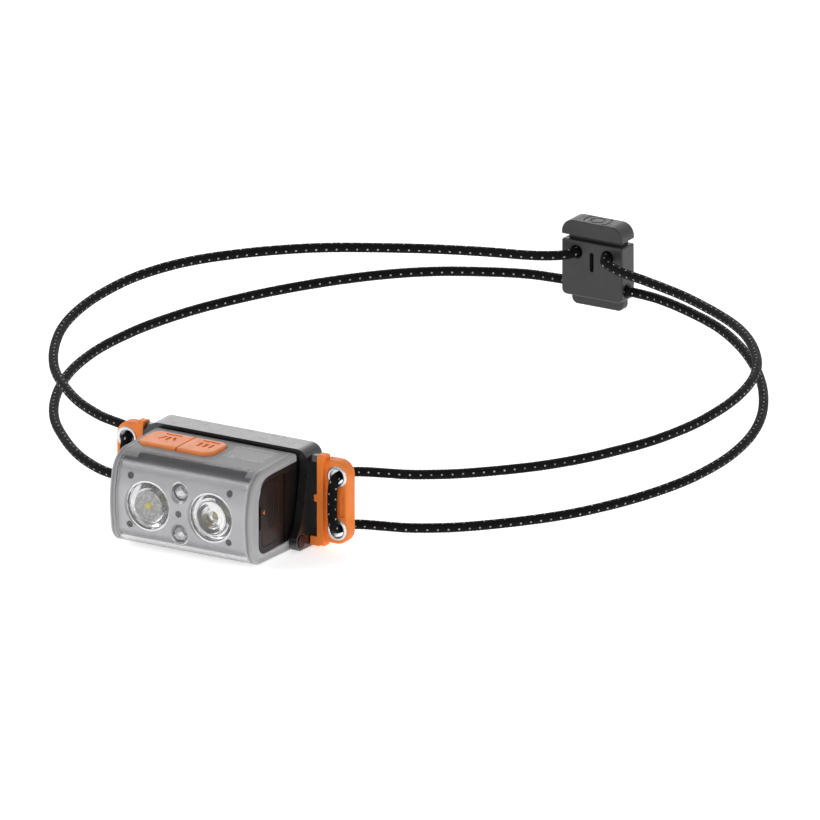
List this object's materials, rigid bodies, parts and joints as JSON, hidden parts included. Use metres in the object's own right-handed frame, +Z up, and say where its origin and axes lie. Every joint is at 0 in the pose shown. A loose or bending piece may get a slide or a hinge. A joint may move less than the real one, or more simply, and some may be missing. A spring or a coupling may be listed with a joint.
{
  "type": "headlamp",
  "caption": "Ultralight rechargeable headlamp: clear-fronted tilting lamp with flood, spot and auxiliary lights on a bracket, held by a braided cord loop with a push-button cord lock.",
  "frame": {"origin": "centre of the bracket's flat back face, which rests on the forehead", "axes": "+Y points from the lamp to the head, +Z is up, the lamp shines towards -Y, X runs from one cord lug to the other"},
  "size_m": [0.2028, 0.2408, 0.0347],
  "materials": {
    "bracket_black": "fine satin moulded nylon",
    "lug_orange": "satin orange moulded plastic",
    "eyelet_metal": "polished rolled metal",
    "pin_steel": "dark steel",
    "clear_polycarbonate": "clear polished polycarbonate",
    "bezel_grey": "satin light grey",
    "optic_acrylic": "clear moulded optic",
    "reflector_chrome": "vacuum plated",
    "led_phosphor": "phosphor under a clear dome",
    "aux_led_clear": "clear epoxy",
    "board_green": "solder mask",
    "board_white": "white solder mask on aluminium",
    "inner_black": "moulded black plastic",
    "screw_black": "black oxide",
    "switch_metal": "plated",
    "light_pipe_white": "milky diffuser",
    "window_smoke": "dark grey smoke",
    "battery_foil": "laminated foil pouch",
    "foam_black": "closed-cell foam",
    "seal_rubber": "silicone",
    "button_orange": "satin orange silicone",
    "cover_rubber": "smoky translucent rubber",
    "lock_grey": "fine satin dark grey plastic",
    "spring_steel": "spring wire",
    "cord_black": "black braid with pale reflective flecks"
  },
  "bodies": {
    "bracket_and_cord": {"bracket": "bracket_black", "left_cord_lug": "lug_orange", "right_cord_lug": "lug_orange", "left_upper_eyelet": "eyelet_metal", "left_lower_eyelet": "eyelet_metal", "right_upper_eyelet": "eyelet_metal", "right_lower_eyelet": "eyelet_metal", "left_pivot_pin": "pin_steel", "right_pivot_pin": "pin_steel", "cord_lock_body": "lock_grey", "cord_lock_pin": "pin_steel", "cord_lock_spring": "spring_steel", "head_cord": "cord_black", "tail_knot": "cord_black"},
    "lamp": {"front_shell": "clear_polycarbonate", "reflector_bezel": "bezel_grey", "flood_lens": "optic_acrylic", "spot_lens": "optic_acrylic", "flood_reflector": "reflector_chrome", "spot_reflector": "reflector_chrome", "flood_led": "led_phosphor", "spot_led": "led_phosphor", "aux_led_upper": "aux_led_clear", "aux_led_lower": "aux_led_clear", "led_board": "board_white", "mid_frame": "inner_black", "bezel_screws": "screw_black", "main_board": "board_green", "tact_switches": "switch_metal", "indicator_leds": "led_phosphor", "light_pipes": "light_pipe_white", "indicator_window": "window_smoke", "usb_c_socket": "switch_metal", "usb_board": "board_green", "battery_cell": "battery_foil", "battery_leads": "screw_black", "battery_foam": "foam_black", "rear_housing": "inner_black", "housing_seal": "seal_rubber", "rear_housing_screws": "screw_black", "port_cover_anchor": "cover_rubber"},
    "left_button": {"left_button": "button_orange"},
    "right_button": {"right_button": "button_orange"},
    "port_cover": {"port_cover": "cover_rubber"},
    "lock_plunger": {"cord_lock_plunger": "lock_grey"}
  },
  "joints": [
    {"name": "lamp_tilt", "type": "hinge", "parent": "bracket_and_cord", "child": "lamp", "pos_m": [0, -0.0122, -0.011], "axis": [1, 0, 0], "range_deg": [0, 60]},
    {"name": "left_button_press", "type": "slide", "parent": "lamp", "child": "left_button", "axis": [0, 0, -1], "range_m": [0, 0.0005], "stiffness_N_per_m": 800, "springref_m": -0.0008},
    {"name": "right_button_press", "type": "slide", "parent": "lamp", "child": "right_button", "axis": [0, 0, -1], "range_m": [0, 0.0005], "stiffness_N_per_m": 800, "springref_m": -0.0008},
    {"name": "port_cover_hinge", "type": "hinge", "parent": "lamp", "child": "port_cover", "pos_m": [0.0223, -0.01685, 0], "axis": [0, 0, 1], "range_deg": [0, 95]},
    {"name": "cord_lock_press", "type": "slide", "parent": "bracket_and_cord", "child": "lock_plunger", "axis": [0, 0, -1], "range_m": [0, 0.0012], "stiffness_N_per_m": 1500, "springref_m": -0.0012, "deforming": ["cord_lock_spring"]}
  ]
}
